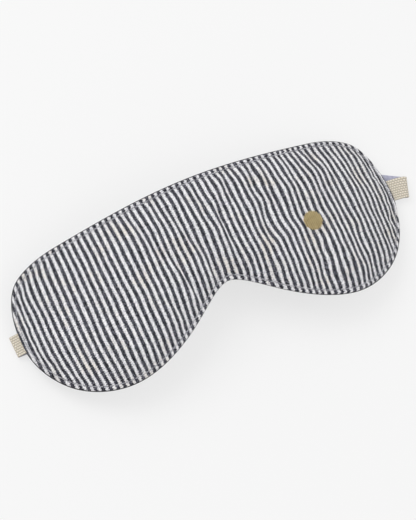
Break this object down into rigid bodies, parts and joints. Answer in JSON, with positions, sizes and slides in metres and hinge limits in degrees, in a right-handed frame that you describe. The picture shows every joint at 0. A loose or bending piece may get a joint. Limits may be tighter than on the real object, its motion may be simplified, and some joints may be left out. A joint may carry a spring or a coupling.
{
  "type": "sleep eye mask",
  "caption": "Padded cloth sleep mask with a nose notch, striped front, dark lining and an elastic head strap that stretches away from its back.",
  "frame": {"origin": "middle of the footprint, on the surface that the mask lies on, face up", "axes": "+X along the mask to the wearer's left, +Y towards the forehead edge, +Z out of the striped front"},
  "size_m": [0.2188, 0.0816, 0.0318],
  "materials": {
    "striped_cotton": "woven stripe, matte",
    "dark_lining": "plain weave, matte",
    "wadding": "soft fibre",
    "blackout_cloth": "coated cloth",
    "dark_thread": "twisted thread",
    "pale_thread": "twisted thread",
    "gold_thread": "metallic satin stitch",
    "backing_cloth": "non-woven",
    "strap_elastic": "ribbed woven elastic"
  },
  "bodies": {
    "strap": {"strap_run": "strap_elastic"},
    "mask": {"front_panel": "striped_cotton", "back_panel": "dark_lining", "wadding": "wadding", "blackout_interlining": "blackout_cloth", "edge_seam_thread": "dark_thread", "topstitch_thread": "pale_thread", "bobbin_thread": "dark_thread", "dot_embroidery": "gold_thread", "dot_backing": "backing_cloth", "strap_right_end": "strap_elastic", "strap_left_end": "strap_elastic"}
  },
  "joints": [
    {"name": "strap_pull", "type": "slide", "parent": "strap", "child": "mask", "axis": [0, 0, 1], "range_m": [0, 0.1], "stiffness_N_per_m": 22, "springref_m": -0.01}
  ]
}
